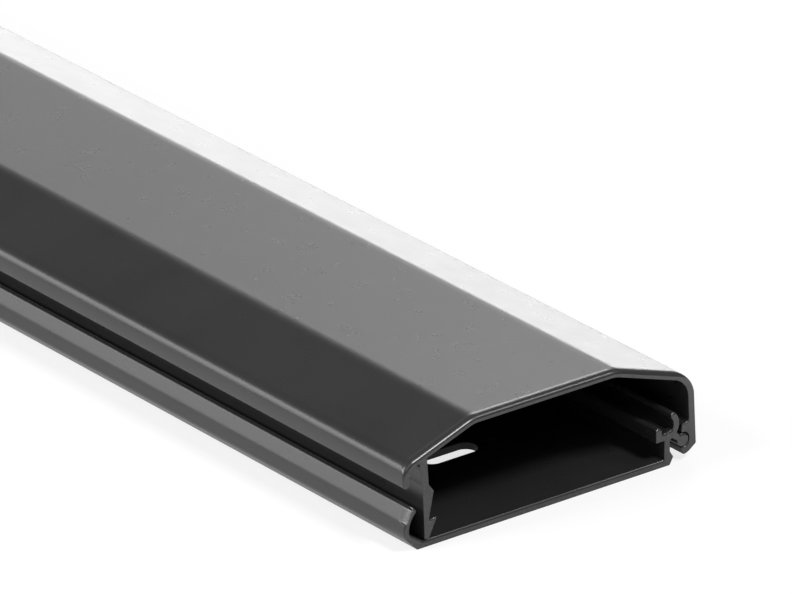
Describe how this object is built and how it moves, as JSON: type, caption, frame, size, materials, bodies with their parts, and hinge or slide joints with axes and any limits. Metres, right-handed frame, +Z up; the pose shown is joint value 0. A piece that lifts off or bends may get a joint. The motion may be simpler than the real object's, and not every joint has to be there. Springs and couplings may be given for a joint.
{
  "type": "cord cover raceway",
  "caption": "Low crowned raceway that hides cords along a wall: a flat screw-on rail with a curled lip, and a long cover that snaps on a bead hinge and swings open.",
  "frame": {"origin": "on the floor under the rail, at the middle of the overall width and of the length", "axes": "+Y along the length, +Z up through the crown of the cover, +X towards the hinge edge"},
  "size_m": [0.06, 0.5, 0.02],
  "materials": {
    "black_coat": "satin"
  },
  "bodies": {
    "base": {"base_rail": "black_coat"},
    "cover": {"hinged_cover": "black_coat"}
  },
  "joints": [
    {"name": "cover_hinge", "type": "hinge", "parent": "base", "child": "cover", "pos_m": [0.02726, 0, 0.00375], "axis": [0, 1, 0], "range_deg": [0, 65]}
  ]
}
